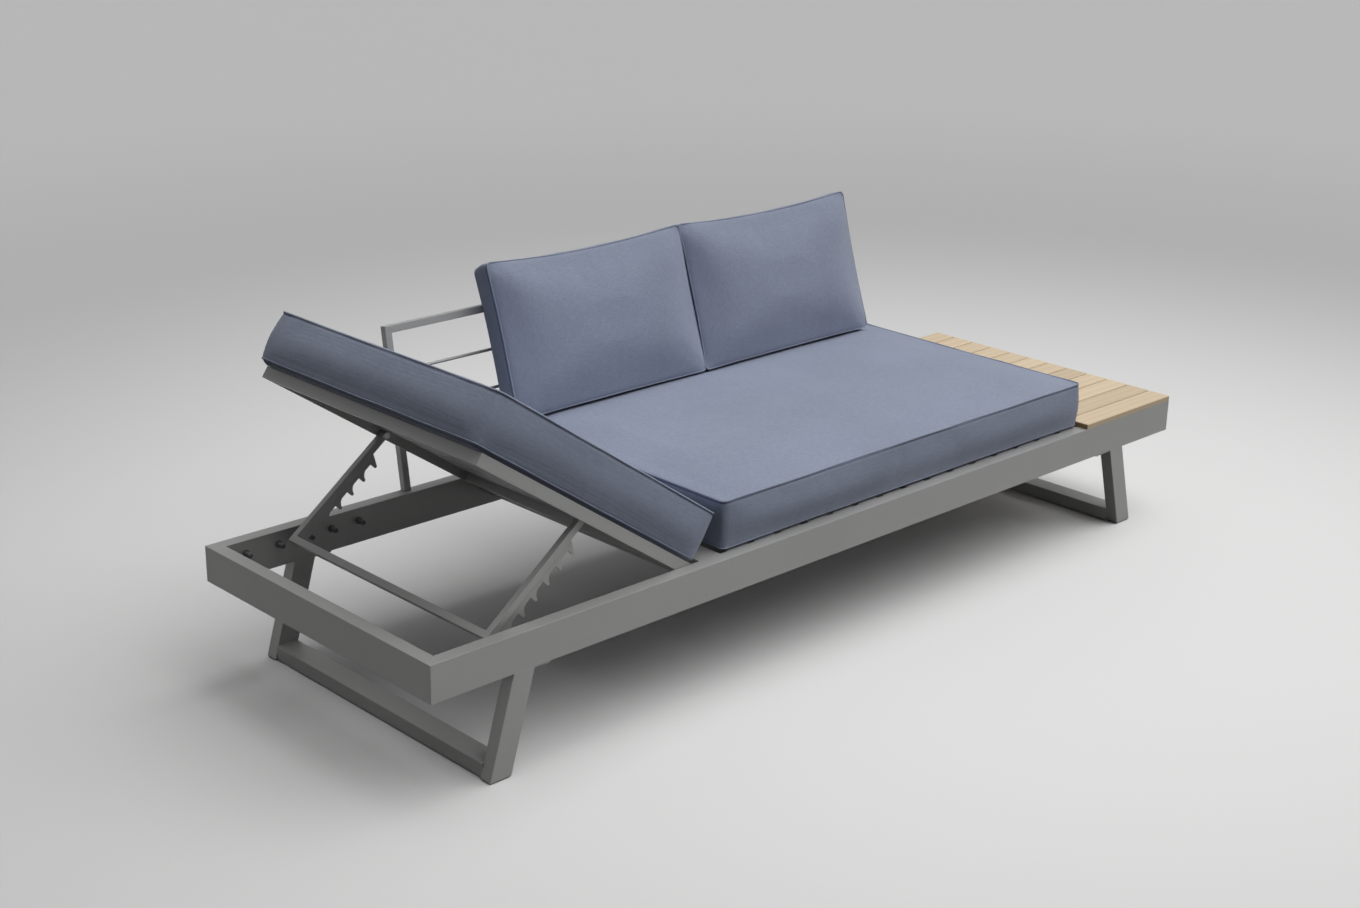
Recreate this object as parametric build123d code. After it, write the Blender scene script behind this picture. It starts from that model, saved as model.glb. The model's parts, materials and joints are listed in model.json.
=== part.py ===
from build123d import *
import math
import os

# Sun lounger with a tilting head section, a low back frame and a wooden end table.
# X runs from the head end to the table end, Y from the open front to the back frame, Z up.
# The pieces are laid out from the head end's front corner on the floor, and the whole
# is moved at the end so that the origin lies under the middle of the bounding box.

# Outer frame of mitred aluminium tubes
frame_length = 2314.0
frame_width = 750.0
frame_top = 287.5
rail_height = 77.5
rail_thickness = 30.0
rail_wall = 2.0

# Sled bases
leg_inset = 191.0
leg_width = 50.0
leg_wall = 2.0
leg_splay = 61.0
runner_height = 30.0
glide_height = 3.0
glide_margin = 2.0
leg_plate_length = 49.0
leg_plate_width = 22.0
leg_plate_thickness = 5.0
leg_bolt_radius = 4.0
leg_bolt_length = 18.0
leg_bolt_head_radius = 6.5
leg_bolt_head_height = 4.0

# Bed of slats on cross tubes and lengthwise bearers
bed_hinge_gap = 29.5
bed_table_gap = 6.0
seat_slat_pitch = 80.5
seat_slat_width = 60.0
seat_slat_height = 12.0
slat_wall = 1.5
cross_tube_count = 3
cross_tube_width = 20.0
cross_tube_height = 40.0
cross_tube_margin = 8.0
bearer_width = 20.0
bearer_height = 20.0
bearer_count = 2

# End table of wooden slats on two battens
table_length = 346.0
table_slat_count = 12
table_slat_height = 12.2
table_slat_gap = 4.0
table_slat_edge = 1.2
batten_width = 30.0
batten_height = 20.0
batten_margin = 12.0
batten_spacing = 150.0
screw_radius = 2.0
screw_grip = 8.0
screw_head_radius = 4.0
screw_head_height = 2.5

# Head section, hinged between the side rails
head_angle = 34.4
hinge_drop = 9.8
head_length = 633.0
head_tube_width = 17.0
head_tube_height = 25.0
head_tube_wall = 1.5
head_side_gap = 1.5
head_end_gap = 1.5
hinge_overhang = 13.0
foot_tube_place = 22.0
head_slat_pitch = 69.0
head_slat_width = 50.0
head_slat_height = 6.0
end_cap_thickness = 2.5
end_cap_gap = 1.0

# Hinge and pivot fittings
bolt_radius = 4.0
bolt_head_radius = 7.0
bolt_head_height = 4.5
bush_radius = 5.5
insert_length = 15.0
washer_radius = 8.0

# Folding support with hook plates
pivot_reach = 309.0
pivot_drop = 4.5
arm_angle = 37.5
arm_length = 292.0
arm_height = 15.0
arm_depth = 14.0
arm_wall = 1.5
foot_bar_size = 15.0
hook_plate_thickness = 4.5
hook_plate_start = 44.5
hook_count = 6
hook_first = 62.5
hook_pitch = 38.5
hook_reach = 17.0
hook_spine = 23.0

# Places on one hook, as shares of the pitch along the arm and of the reach across it
lead_start_share = -0.49
lead_middle_shares = (-0.32, 0.20)
lead_end_shares = (-0.15, 0.90)
tip_shares = (-0.06, 1.0)
trail_start_shares = (0.02, 0.86)
trail_end_shares = (0.065, 0.08)
notch_middle_shares = (0.075, 0.02)
notch_end_share = 0.10

# Rest pegs on the inner faces of the side rails, placed between the head end and the hinge
peg_place_shares = (0.0709, 0.1939, 0.3089, 0.4003, 0.5106)
peg_radius = 5.5
peg_tail_radius = 4.0
peg_tail_length = 6.0
peg_collar_radius = 8.0
peg_collar_height = 1.2
peg_end_round = 2.0

# Back frame on the back rail
back_frame_lead = 177.5
back_frame_table_gap = 33.0
back_frame_height = 358.0
back_frame_lean = 8.7
back_tube_size = 16.0
back_tube_wall = 1.5
back_bar_radius = 3.5
back_bar_count = 3

# Cushions
seat_cushion_gap = 93.5
cushion_side_margin = 28.0
cushion_thickness = 110.0
cushion_corner = 12.0
cushion_bulge = 4.0
cushion_foot_inset = 9.0
cushion_foot_height = 8.5
cushion_edge_draw = 2.0
cushion_crown = 14.0
cushion_shoulder = 110.0
head_cushion_reach = 1.0
head_cushion_overhang = 24.0
head_crown = 12.0
back_cushion_lead = 75.5
back_cushion_end_gap = 35.0
back_cushion_gap = 1.0
back_cushion_height = 352.0
back_cushion_thickness = 60.0
back_cushion_lean = 17.5
back_cushion_corner = 10.0
back_cushion_sag = 12.0
back_cushion_draw = 4.0
back_cushion_crown = 34.0
back_cushion_hollow = 8.0
back_cushion_shoulder = 110.0

# Growth of a cushion's crown from its seam to its top, and of its corner radius
crown_height_shares = (0.0, 0.50, 0.84, 1.0)
crown_inset_shares = (0.0, 0.16, 0.48, 1.0)
corner_growth_share = 0.4

# Clearances
fit_clearance = 0.05
side_clearance = 0.1
rest_clearance = 0.3
peg_clearance = 0.5
overrun = 1.0

# Places worked out from the sizes above
rail_bottom = frame_top - rail_height
middle_y = frame_width / 2
inner_front = rail_thickness
inner_back = frame_width - rail_thickness
hinge_z = frame_top - hinge_drop
hinge_x = rail_thickness + head_end_gap + head_length
head_outer_y = inner_front + head_side_gap
head_inner_y = head_outer_y + head_tube_width
head_half = head_tube_height / 2
arm_y = head_inner_y + head_side_gap
arm_end_y = arm_y + arm_depth
plate_y = arm_y + (arm_depth - hook_plate_thickness) / 2
peg_end_y = arm_y - peg_clearance
peg_z = hinge_z - head_half - rest_clearance - peg_radius
peg_places = [rail_thickness + share * (hinge_x - rail_thickness) for share in peg_place_shares]
table_start = frame_length - table_length
seat_start = hinge_x + bed_hinge_gap
seat_end = table_start - bed_table_gap
slat_bottom = frame_top - seat_slat_height
cross_start = seat_start + cross_tube_margin
cross_end = seat_end - cross_tube_margin - cross_tube_width
back_frame_start = hinge_x - back_frame_lead
back_frame_end = table_start - back_frame_table_gap
cushion_width = frame_width - 2 * cushion_side_margin
seat_cushion_start = hinge_x + seat_cushion_gap
seat_cushion_end = seat_end
head_cushion_length = head_length + head_cushion_overhang + head_cushion_reach
back_cushion_start = hinge_x + back_cushion_lead
back_cushion_end = back_frame_end - back_cushion_end_gap
back_cushion_width = (back_cushion_end - back_cushion_start) / 2 - back_cushion_gap
head_place = Pos(hinge_x, 0, hinge_z) * Rot(0, head_angle, 0)
bail_pivot = head_place * Pos(-pivot_reach, 0, -pivot_drop)
bail_place = Pos(bail_pivot.position) * Rot(0, -arm_angle, 0)


def block(x0, x1, y0, y1, z0, z1):
    """Block between two opposite corners."""
    middle = Pos((x0 + x1) / 2, (y0 + y1) / 2, (z0 + z1) / 2)
    return middle * Box(x1 - x0, y1 - y0, z1 - z0)


def tube_x(x0, x1, y0, y1, z0, z1, wall):
    """Rectangular tube along X, open at both ends."""
    bore = block(x0 - overrun, x1 + overrun, y0 + wall, y1 - wall, z0 + wall, z1 - wall)
    return block(x0, x1, y0, y1, z0, z1) - bore


def tube_y(x0, x1, y0, y1, z0, z1, wall):
    """Rectangular tube along Y, open at both ends."""
    bore = block(x0 + wall, x1 - wall, y0 - overrun, y1 + overrun, z0 + wall, z1 - wall)
    return block(x0, x1, y0, y1, z0, z1) - bore


def rod_y(x, z, radius, y0, y1):
    """Round bar along Y."""
    return Pos(x, (y0 + y1) / 2, z) * Rot(90, 0, 0) * Cylinder(radius, y1 - y0)


def rod_z(x, y, radius, z0, z1):
    """Round bar along Z."""
    return Pos(x, y, (z0 + z1) / 2) * Cylinder(radius, z1 - z0)


def ring_y(x, z, radius, bore, y0, y1):
    """Round sleeve along Y."""
    return rod_y(x, z, radius, y0, y1) - rod_y(x, z, bore, y0 - overrun, y1 + overrun)


def prism_y(points, y0, y1):
    """Outline of (x, z) points carried along Y."""
    outline = Polyline([(x, y0, z) for x, z in points], close=True)
    return extrude(make_face(outline), amount=y1 - y0, dir=(0, 1, 0))


def opposite(shape):
    """The same piece on the other long side."""
    return mirror(shape, about=Plane(origin=(0, middle_y, 0), z_dir=(0, 1, 0)))


def other_end(shape):
    """The same piece at the other end of the frame."""
    return mirror(shape, about=Plane(origin=(frame_length / 2, 0, 0), z_dir=(1, 0, 0)))


def both_sides(shape):
    """A front piece and its twin at the back, as two solids."""
    return [shape, opposite(shape)]


def moved_across(shape, outer_y, inner_y):
    """A front piece with like faces at two places, moved to the same places at the back."""
    return Pos(0, frame_width - outer_y - inner_y, 0) * shape


# Outer frame

def mitred_rail(length):
    """Rail along X with its outer face at y 0 and both ends mitred."""
    outline = Polyline((0, 0), (length, 0), (length - rail_thickness, rail_thickness),
                       (rail_thickness, rail_thickness), close=True)
    rail = Pos(0, 0, rail_bottom) * extrude(make_face(outline), amount=rail_height)
    bore = block(-overrun, length + overrun, rail_wall, rail_thickness - rail_wall,
                 rail_bottom + rail_wall, frame_top - rail_wall)
    return rail - bore


def side_rail():
    """Front rail with the holes for its pegs, hinge insert and leg bolts."""
    rail = mitred_rail(frame_length)
    wall_y = inner_front - rail_wall - overrun
    for x in peg_places:
        rail -= rod_y(x, peg_z, peg_tail_radius + fit_clearance, wall_y, inner_front + overrun)
    rail -= rod_y(hinge_x, hinge_z, bush_radius + fit_clearance, wall_y, inner_front + overrun)
    hole = leg_bolt_hole()
    return rail - hole - other_end(hole)


def head_end_rail():
    return Pos(0, frame_width, 0) * Rot(0, 0, -90) * mitred_rail(frame_width)


def table_end_rail():
    return Pos(frame_length, 0, 0) * Rot(0, 0, 90) * mitred_rail(frame_width)


# Sled bases

def leg_shift(z):
    """How far the leg has moved outwards at a height."""
    return leg_splay * (rail_bottom - z) / rail_bottom


def leg_outline(margin, top, bottom):
    """Side view of the leg between two heights, drawn in by a margin."""
    left = leg_inset + margin
    right = leg_inset + leg_width - margin
    return [(left - leg_shift(top), top), (right - leg_shift(top), top),
            (right - leg_shift(bottom), bottom), (left - leg_shift(bottom), bottom)]


def splayed_leg():
    """Front leg of the head end's sled base."""
    outer = prism_y(leg_outline(0, rail_bottom, glide_height), 0, rail_thickness)
    bore = prism_y(leg_outline(leg_wall, rail_bottom + overrun, glide_height - overrun),
                   leg_wall, rail_thickness - leg_wall)
    return outer - bore


def runner():
    """Floor tube between the feet of the two legs."""
    start = leg_inset - leg_shift(glide_height + runner_height / 2)
    return tube_y(start, start + leg_width, inner_front, inner_back,
                  glide_height, glide_height + runner_height, leg_wall)


def plate_bolt_x():
    return leg_inset + leg_width + leg_plate_length - leg_plate_width / 2


def leg_plate():
    """Round-ended plate from the leg's top to the rail's underside."""
    low = rail_bottom - leg_plate_thickness
    y0 = (rail_thickness - leg_plate_width) / 2
    plate = block(leg_inset + leg_width / 2, plate_bolt_x(), y0, y0 + leg_plate_width, low, rail_bottom)
    plate += rod_z(plate_bolt_x(), rail_thickness / 2, leg_plate_width / 2, low, rail_bottom)
    leg = prism_y(leg_outline(0, rail_bottom + overrun, glide_height), 0, rail_thickness)
    return plate - leg - leg_bolt_hole()


def leg_bolt_hole():
    return rod_z(plate_bolt_x(), rail_thickness / 2, leg_bolt_radius + fit_clearance,
                 rail_bottom - leg_plate_thickness - overrun, rail_bottom + rail_wall + overrun)


def leg_bolt():
    """Bolt with a flat round head, up through the plate into the rail."""
    seat = rail_bottom - leg_plate_thickness
    shank = rod_z(plate_bolt_x(), rail_thickness / 2, leg_bolt_radius, seat, seat + leg_bolt_length)
    head = rod_z(plate_bolt_x(), rail_thickness / 2, leg_bolt_head_radius,
                 seat - leg_bolt_head_height, seat)
    return shank + head


def glide():
    """Floor pad under one foot."""
    start = leg_inset - leg_shift(glide_height)
    return block(start + glide_margin, start + leg_width - glide_margin,
                 glide_margin, rail_thickness - glide_margin, 0, glide_height)


def four_corners(shape):
    """One piece at each of the four feet."""
    return both_sides(shape) + both_sides(other_end(shape))


# Bed

def spread(start, end, count):
    """Evenly spread places, the first at start and the last at end."""
    step = (end - start) / (count - 1)
    return [start + step * number for number in range(count)]


def seat_slats():
    """Slats spread over the bed, about a pitch apart."""
    last = seat_end - seat_slat_width
    count = round((last - seat_start) / seat_slat_pitch) + 1
    return [tube_y(x, x + seat_slat_width, inner_front, inner_back, slat_bottom, frame_top, slat_wall)
            for x in spread(seat_start, last, count)]


def cross_tubes():
    low = slat_bottom - cross_tube_height
    return [tube_y(x, x + cross_tube_width, inner_front, inner_back, low, slat_bottom, rail_wall)
            for x in spread(cross_start, cross_end, cross_tube_count)]


def seat_bearers():
    """Lengthwise tubes under the slats, in the bays between the cross tubes."""
    places = spread(cross_start, cross_end, cross_tube_count)
    step = (inner_back - inner_front) / (bearer_count + 1)
    bearers = []
    for row in range(bearer_count):
        y = inner_front + step * (row + 1) - bearer_width / 2
        for left, right in zip(places, places[1:]):
            bearers.append(tube_x(left + cross_tube_width, right, y, y + bearer_width,
                                  slat_bottom - bearer_height, slat_bottom, slat_wall))
    return bearers


# End table

def table_slat_width():
    return (frame_width - table_slat_gap * (table_slat_count - 1)) / table_slat_count


def table_slat_starts():
    return spread(0, frame_width - table_slat_width(), table_slat_count)


def batten_starts():
    first = table_start + batten_margin
    return [first, first + batten_spacing]


def screw_places():
    """Screw axes: the middle of what each slat covers of each batten."""
    width = table_slat_width()
    return [(x + batten_width / 2, (max(y, inner_front) + min(y + width, inner_back)) / 2)
            for x in batten_starts() for y in table_slat_starts()]


def screw_holes(low, high):
    return [rod_z(x, y, screw_radius + fit_clearance, low, high) for x, y in screw_places()]


def table_slats():
    """Wooden slats along X with softened top edges and blind screw holes below."""
    holes = screw_holes(frame_top - overrun, frame_top + screw_grip + side_clearance)
    slats = []
    for y in table_slat_starts():
        slat = block(table_start, frame_length, y, y + table_slat_width(),
                     frame_top, frame_top + table_slat_height)
        slat = chamfer(slat.faces().sort_by(Axis.Z)[-1].edges(), table_slat_edge)
        for hole in holes:
            slat -= hole
        slats.append(slat)
    return slats


def table_battens():
    low = frame_top - batten_height
    battens = []
    for x in batten_starts():
        batten = tube_y(x, x + batten_width, inner_front, inner_back, low, frame_top, slat_wall)
        for hole in screw_holes(low - overrun, frame_top + overrun):
            batten -= hole
        battens.append(batten)
    return battens


def table_screws():
    """Pan-head screws from below, through the battens into the slats."""
    seat = frame_top - batten_height
    return [rod_z(x, y, screw_radius, seat, frame_top + screw_grip)
            + rod_z(x, y, screw_head_radius, seat - screw_head_height, seat)
            for x, y in screw_places()]


# Rest pegs

def peg(x):
    """Peg with a tail through the rail's wall, a collar and a rounded end."""
    tail = rod_y(x, peg_z, peg_tail_radius, inner_front - peg_tail_length, inner_front)
    pin = rod_y(x, peg_z, peg_radius, inner_front, peg_end_y)
    pin = fillet(pin.edges().sort_by(Axis.Y)[-1], peg_end_round)
    collar = rod_y(x, peg_z, peg_collar_radius, inner_front, inner_front + peg_collar_height)
    return tail + pin + collar


# Head section, drawn flat with its hinge axis at x 0 and z 0, then tilted

def head_side_tube():
    """Side tube from its open lower end to the mitred head end."""
    outline = Polyline((-head_length, head_outer_y), (hinge_overhang, head_outer_y),
                       (hinge_overhang, head_inner_y), (head_tube_width - head_length, head_inner_y),
                       close=True)
    tube = Pos(0, 0, -head_half) * extrude(make_face(outline), amount=head_tube_height)
    tube -= block(-head_length - overrun, hinge_overhang + overrun,
                  head_outer_y + head_tube_wall, head_inner_y - head_tube_wall,
                  head_tube_wall - head_half, head_half - head_tube_wall)
    tube -= rod_y(0, 0, bush_radius + fit_clearance, head_outer_y - overrun, head_inner_y + overrun)
    wall_y = head_inner_y - head_tube_wall - overrun
    return tube - rod_y(-pivot_reach, -pivot_drop, bush_radius + fit_clearance,
                        wall_y, head_inner_y + overrun)


def head_end_tube():
    """Mitred tube across the head end."""
    back_y = frame_width - head_outer_y
    outline = Polyline((-head_length, head_outer_y), (-head_length, back_y),
                       (head_tube_width - head_length, back_y - head_tube_width),
                       (head_tube_width - head_length, head_inner_y), close=True)
    tube = Pos(0, 0, -head_half) * extrude(make_face(outline), amount=head_tube_height)
    return tube - block(head_tube_wall - head_length, head_tube_width - head_tube_wall - head_length,
                        head_outer_y - overrun, back_y + overrun,
                        head_tube_wall - head_half, head_half - head_tube_wall)


def head_foot_tube():
    """Cross tube just above the hinge."""
    return tube_y(-foot_tube_place - head_tube_width, -foot_tube_place, head_inner_y,
                  frame_width - head_inner_y, -head_half, head_half, head_tube_wall)


def head_slats():
    """Flat cross slats level with the top of the tilting frame."""
    low = head_tube_width - head_length
    high = -foot_tube_place - head_tube_width
    count = round((high - low) / head_slat_pitch)
    gap = (high - low - count * head_slat_width) / (count + 1)
    starts = spread(low + gap, high - gap - head_slat_width, count)
    return [block(x, x + head_slat_width, head_inner_y, frame_width - head_inner_y,
                  head_half - head_slat_height, head_half) for x in starts]


def head_end_cap():
    """Plastic cap with a plug in the side tube's lower end."""
    flange = block(hinge_overhang, hinge_overhang + end_cap_thickness,
                   head_outer_y, head_inner_y, -head_half, head_half)
    inset = head_tube_wall + fit_clearance
    plug_end = bush_radius + end_cap_gap
    return flange + block(plug_end, hinge_overhang, head_outer_y + inset, head_inner_y - inset,
                          inset - head_half, head_half - inset)


def hinge_bush():
    return ring_y(0, 0, bush_radius, bolt_radius + fit_clearance, head_outer_y, head_inner_y)


def pivot_insert():
    """Threaded insert in the side tube's inner wall, for the support's bolt."""
    return ring_y(-pivot_reach, -pivot_drop, bush_radius, bolt_radius + fit_clearance,
                  head_inner_y - insert_length, head_inner_y)


def pivot_bolt():
    """Shoulder bolt through the support's arm into the side tube."""
    seat = arm_end_y + side_clearance
    shank = rod_y(-pivot_reach, -pivot_drop, bolt_radius, head_inner_y - insert_length, seat)
    return shank + rod_y(-pivot_reach, -pivot_drop, bolt_head_radius, seat, seat + bolt_head_height)


def pivot_washer():
    return ring_y(-pivot_reach, -pivot_drop, washer_radius, bolt_radius + fit_clearance,
                  head_inner_y + side_clearance, arm_y - side_clearance)


# Hinge fittings that stay with the outer frame

def hinge_insert():
    """Threaded insert in the rail's inner wall, for the hinge bolt."""
    return ring_y(hinge_x, hinge_z, bush_radius, bolt_radius + fit_clearance,
                  inner_front - insert_length, inner_front)


def hinge_bolt():
    """Shoulder bolt through the tilting side tube into the rail."""
    seat = head_inner_y + side_clearance
    shank = rod_y(hinge_x, hinge_z, bolt_radius, inner_front - insert_length, seat)
    return shank + rod_y(hinge_x, hinge_z, bolt_head_radius, seat, seat + bolt_head_height)


def hinge_washer():
    return ring_y(hinge_x, hinge_z, washer_radius, bolt_radius + fit_clearance,
                  inner_front + side_clearance, head_outer_y - side_clearance)


# Folding support, drawn folded flat with its pivot at x 0 and z 0, hooks downwards

def support_arm():
    """Arm tube with a rounded pivot end and a closed foot."""
    half = arm_height / 2
    foot = -arm_length - foot_bar_size / 2
    arm = block(foot, 0, arm_y, arm_end_y, -half, half) + rod_y(0, 0, half, arm_y, arm_end_y)
    arm -= block(foot + arm_wall, -bush_radius - arm_wall, arm_y + arm_wall, arm_end_y - arm_wall,
                 arm_wall - half, half - arm_wall)
    return arm - rod_y(0, 0, bush_radius + fit_clearance, arm_y - overrun, arm_end_y + overrun)


def hook_point(place, shares):
    """Point on a hook from its shares: along by the pitch, out by the reach."""
    along, out = shares
    return (-place - along * hook_pitch, plate_y, -hook_spine - out * hook_reach)


def hook_lead(place):
    """Hollow edge from the plate's straight stretch to the hook's tip."""
    return ThreePointArc(hook_point(place, (lead_start_share, 0)), hook_point(place, lead_middle_shares),
                         hook_point(place, lead_end_shares))


def hook_end(place):
    """Round tip, straight trailing side and round notch."""
    trail = hook_point(place, trail_start_shares)
    root = hook_point(place, trail_end_shares)
    return [ThreePointArc(hook_point(place, lead_end_shares), hook_point(place, tip_shares), trail),
            Line(trail, root),
            ThreePointArc(root, hook_point(place, notch_middle_shares),
                          hook_point(place, (notch_end_share, 0)))]


def hook_plate():
    """Plate under the middle of the arm with its row of hooks."""
    top = -arm_height / 2
    foot = -arm_length - foot_bar_size / 2
    places = [hook_first + hook_pitch * number for number in range(hook_count)]
    start = (-hook_plate_start, plate_y, top)
    edges = [Line((foot, plate_y, top), start), Line(start, hook_point(places[0], lead_end_shares))]
    edges.extend(hook_end(places[0]))
    for last, place in zip(places, places[1:]):
        edges.append(Line(hook_point(last, (notch_end_share, 0)),
                          hook_point(place, (lead_start_share, 0))))
        edges.append(hook_lead(place))
        edges.extend(hook_end(place))
    edges.append(Line(hook_point(places[-1], (notch_end_share, 0)), (foot, plate_y, -hook_spine)))
    edges.append(Line((foot, plate_y, -hook_spine), (foot, plate_y, top)))
    return extrude(make_face(edges), amount=hook_plate_thickness, dir=(0, 1, 0))


def support_bush():
    return ring_y(0, 0, bush_radius, bolt_radius + fit_clearance, arm_y, arm_end_y)


def support_foot_bar():
    """Square tube between the feet of the two arms."""
    half = foot_bar_size / 2
    return tube_y(-arm_length - half, half - arm_length, arm_end_y, frame_width - arm_end_y,
                  -half, half, arm_wall)


# Back frame, drawn upright with the rail's back edge at y 0 and z 0, then leaned back

def lean_back(shape):
    return Pos(0, frame_width, frame_top) * Rot(-back_frame_lean, 0, 0) * shape


def rail_top_cut(shape):
    """What of a leaning piece stands above the rail's top."""
    reach = back_frame_height + rail_height
    return shape & block(0, frame_length, 0, frame_width + reach, frame_top, frame_top + reach)


def slant_height():
    return back_frame_height / math.cos(math.radians(back_frame_lean))


def back_post():
    """Left post, mitred at the top and cut level at the foot."""
    left = back_frame_start
    right = left + back_tube_size
    high = slant_height()
    outline = [(left, -back_tube_size), (right, -back_tube_size),
               (right, high - back_tube_size), (left, high)]
    post = prism_y(outline, -back_tube_size, 0)
    post -= block(left + back_tube_wall, right - back_tube_wall,
                  back_tube_wall - back_tube_size, -back_tube_wall,
                  -back_tube_size - overrun, high + overrun)
    return rail_top_cut(lean_back(post))


def right_post():
    """Right post, the left one's mirror image."""
    centre = (back_frame_start + back_frame_end) / 2
    return mirror(back_post(), about=Plane(origin=(centre, 0, 0), z_dir=(1, 0, 0)))


def back_top_rail():
    """Top rail between the mitred posts."""
    high = slant_height()
    low = high - back_tube_size
    outline = [(back_frame_start, high), (back_frame_end, high),
               (back_frame_end - back_tube_size, low), (back_frame_start + back_tube_size, low)]
    rail = prism_y(outline, -back_tube_size, 0)
    rail -= block(back_frame_start - overrun, back_frame_end + overrun,
                  back_tube_wall - back_tube_size, -back_tube_wall,
                  low + back_tube_wall, high - back_tube_wall)
    return lean_back(rail)


def back_bars():
    """Thin bars between the posts, evenly spread under the top rail."""
    step = (slant_height() - back_tube_size) / (back_bar_count + 1)
    length = back_frame_end - back_frame_start - 2 * back_tube_size
    centre = (back_frame_start + back_frame_end) / 2
    bar = Rot(0, 90, 0) * Cylinder(back_bar_radius, length)
    return [lean_back(Pos(centre, -back_tube_size / 2, step * (number + 1)) * bar)
            for number in range(back_bar_count)]


# Cushions

def soft_outline(length, width, corner, bows, height):
    """Closed outline at one height: four bowed edges joined by rounded corners."""
    x = length / 2
    y = width / 2
    right, back, left, front = bows
    turn = corner * (1 - math.sqrt(0.5))
    edges = [ThreePointArc((x, corner - y), (x + right, 0), (x, y - corner)),
             ThreePointArc((x, y - corner), (x - turn, y - turn), (x - corner, y)),
             ThreePointArc((x - corner, y), (0, y + back), (corner - x, y)),
             ThreePointArc((corner - x, y), (turn - x, y - turn), (-x, y - corner)),
             ThreePointArc((-x, y - corner), (-x - left, 0), (-x, corner - y)),
             ThreePointArc((-x, corner - y), (turn - x, turn - y), (corner - x, -y)),
             ThreePointArc((corner - x, -y), (0, -y - front), (x - corner, -y)),
             ThreePointArc((x - corner, -y), (x - turn, turn - y), (x, corner - y))]
    return Pos(0, 0, height) * Wire(edges)


def soft_stack(length, width, corner, bows, levels):
    """Smooth loft through the outlines at (height, inset) levels."""
    outlines = [soft_outline(length - 2 * inset, width - 2 * inset,
                             corner + max(inset, 0) * corner_growth_share, bows, height)
                for height, inset in levels]
    return Solid.make_loft(outlines)


def crown_levels(seam, crown, shoulder):
    """Levels of a crown that rises from the seam and flattens towards the middle."""
    return [(seam + crown * rise, shoulder * inset)
            for rise, inset in zip(crown_height_shares, crown_inset_shares)]


def box_cushion(length, crown):
    """Boxed cushion centred on the origin, bottom at z 0, with a lower seam and a crowned top."""
    bows = [-cushion_edge_draw] * 4
    middle = (cushion_foot_height + cushion_thickness) / 2
    foot = soft_stack(length, cushion_width, cushion_corner, bows,
                      [(0, cushion_foot_inset), (cushion_foot_height, 0)])
    side = soft_stack(length, cushion_width, cushion_corner, bows,
                      [(cushion_foot_height, 0), (middle, -cushion_bulge), (cushion_thickness, 0)])
    top = soft_stack(length, cushion_width, cushion_corner, bows,
                     crown_levels(cushion_thickness, crown, cushion_shoulder))
    return foot + side + top


def seat_cushion():
    middle = (seat_cushion_start + seat_cushion_end) / 2
    place = Pos(middle, middle_y, frame_top + rest_clearance)
    return place * box_cushion(seat_cushion_end - seat_cushion_start, cushion_crown)


def head_cushion():
    """Cushion on the tilting frame, past its head end by the overhang."""
    middle = head_cushion_length / 2 - head_length - head_cushion_overhang
    place = Pos(middle, middle_y, head_half + rest_clearance)
    return place * box_cushion(head_cushion_length, head_crown)


def back_pillow():
    """Back cushion standing on z 0 with its back face at y 0, crowned to the front."""
    bows = (-back_cushion_draw, -back_cushion_sag, -back_cushion_draw, -cushion_edge_draw)
    panel = [(0, back_cushion_hollow), (back_cushion_thickness / 2, 0), (back_cushion_thickness, 0)]
    side = soft_stack(back_cushion_width, back_cushion_height, back_cushion_corner, bows, panel)
    front = soft_stack(back_cushion_width, back_cushion_height, back_cushion_corner, bows,
                       crown_levels(back_cushion_thickness, back_cushion_crown, back_cushion_shoulder))
    return Pos(0, 0, back_cushion_height / 2) * Rot(90, 0, 0) * (side + front)


def lean_point():
    """Front top edge of the back frame, which the back cushions lean on."""
    edge = lean_back(Pos(0, -back_tube_size, slant_height()))
    return edge.position


def back_cushion(number, seat):
    """Back cushion leaning on the top rail, its foot cut to the seat cushion's crown."""
    step = back_cushion_width + 2 * back_cushion_gap
    x = back_cushion_start + back_cushion_width / 2 + step * number
    edge = lean_point()
    lean = math.radians(back_cushion_lean)
    foot = frame_top + cushion_thickness
    foot_y = edge.Y - (edge.Z - foot) * math.tan(lean) - rest_clearance / math.cos(lean)
    pillow = Pos(x, foot_y, foot) * Rot(-back_cushion_lean, 0, 0) * back_pillow()
    return pillow - Pos(0, 0, rest_clearance) * seat


# Assembly

def bail(shapes):
    return [bail_place * shape for shape in shapes]


def tilted(shapes):
    return [head_place * shape for shape in shapes]


def frame_nodes():
    rail = side_rail()
    leg = splayed_leg()
    return {
        "front_rail": [rail],
        "back_rail": [opposite(rail)],
        "head_end_rail": [head_end_rail()],
        "table_end_rail": [table_end_rail()],
        "head_leg_front": [leg],
        "head_leg_back": [opposite(leg)],
        "head_runner": [runner()],
        "table_leg_front": [other_end(leg)],
        "table_leg_back": [other_end(opposite(leg))],
        "table_runner": [other_end(runner())],
        "leg_plates": four_corners(leg_plate()),
        "leg_bolts": four_corners(leg_bolt()),
        "glides": four_corners(glide()),
        "cross_tubes": cross_tubes(),
        "seat_bearers": seat_bearers(),
        "seat_slats": seat_slats(),
        "table_slats": table_slats(),
        "table_battens": table_battens(),
        "table_screws": table_screws(),
        "front_pegs": [peg(x) for x in peg_places],
        "back_pegs": [opposite(peg(x)) for x in peg_places],
        "hinge_bolts": both_sides(hinge_bolt()),
        "hinge_inserts": both_sides(hinge_insert()),
        "hinge_washers": both_sides(hinge_washer()),
        "back_post_left": [back_post()],
        "back_post_right": [right_post()],
        "back_top_rail": [back_top_rail()],
        "back_bars": back_bars(),
    }


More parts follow.
